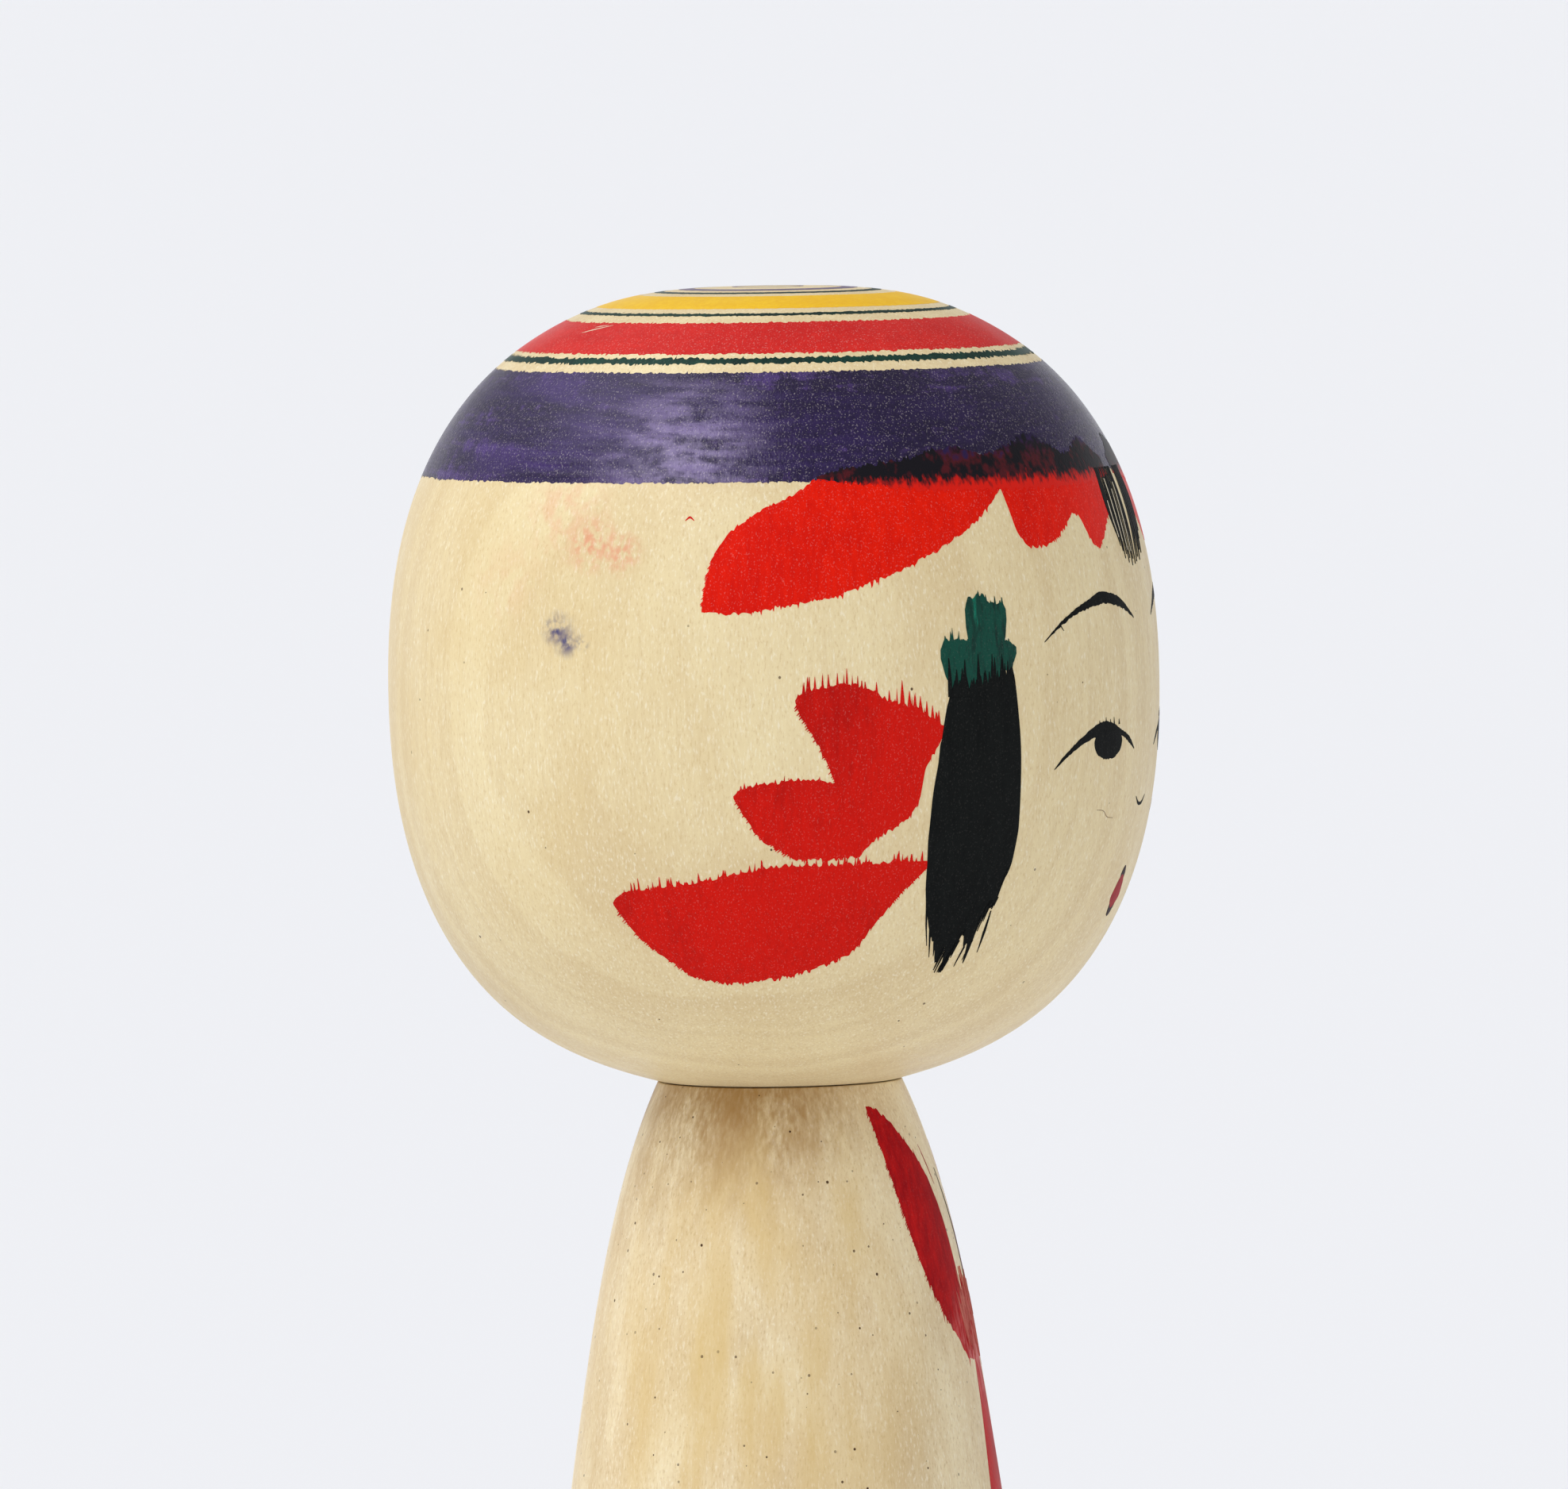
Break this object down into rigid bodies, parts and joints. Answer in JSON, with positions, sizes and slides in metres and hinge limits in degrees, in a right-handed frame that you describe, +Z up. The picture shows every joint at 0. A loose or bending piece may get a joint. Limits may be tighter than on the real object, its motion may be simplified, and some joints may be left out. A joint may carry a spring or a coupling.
{
  "type": "kokeshi doll",
  "caption": "Turned wooden doll with a round head that turns on the slender neck of a flared, flat-based body, painted with rings, a face and petals.",
  "frame": {"origin": "centre of the base, on the plane that the doll stands on", "axes": "+Z up the lathe axis to the crown, -Y is where the face looks, so the doll's right side is at -X"},
  "size_m": [0.072, 0.072, 0.24],
  "materials": {
    "head_wood": "waxed pale dogwood",
    "body_wood": "waxed pale dogwood"
  },
  "bodies": {
    "body": {"body": "body_wood"},
    "head": {"head": "head_wood"}
  },
  "joints": [
    {"name": "head_turn", "type": "hinge", "parent": "body", "child": "head", "pos_m": [0, 0, 0.166], "axis": [0, 0, 1], "continuous": true}
  ]
}
